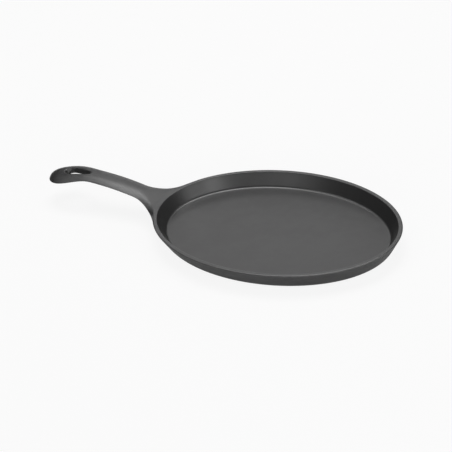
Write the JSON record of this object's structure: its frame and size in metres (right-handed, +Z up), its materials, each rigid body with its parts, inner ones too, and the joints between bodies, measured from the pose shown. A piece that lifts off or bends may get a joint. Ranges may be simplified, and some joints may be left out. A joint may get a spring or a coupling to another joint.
{
  "type": "oval frying pan",
  "caption": "Shallow oval cast-iron frying pan: leaning low wall, narrow flat rim and a one-piece arched handle with a teardrop hanging hole.",
  "frame": {"origin": "middle of the dish's flat underside", "axes": "+Z up, the handle points to -X, +Y across the dish"},
  "size_m": [0.383, 0.1888, 0.0325],
  "materials": {
    "cast_iron": "seasoned black iron, fine sand-cast grain, satin"
  },
  "bodies": {
    "root": {"pan_casting": "cast_iron"}
  },
  "joints": []
}
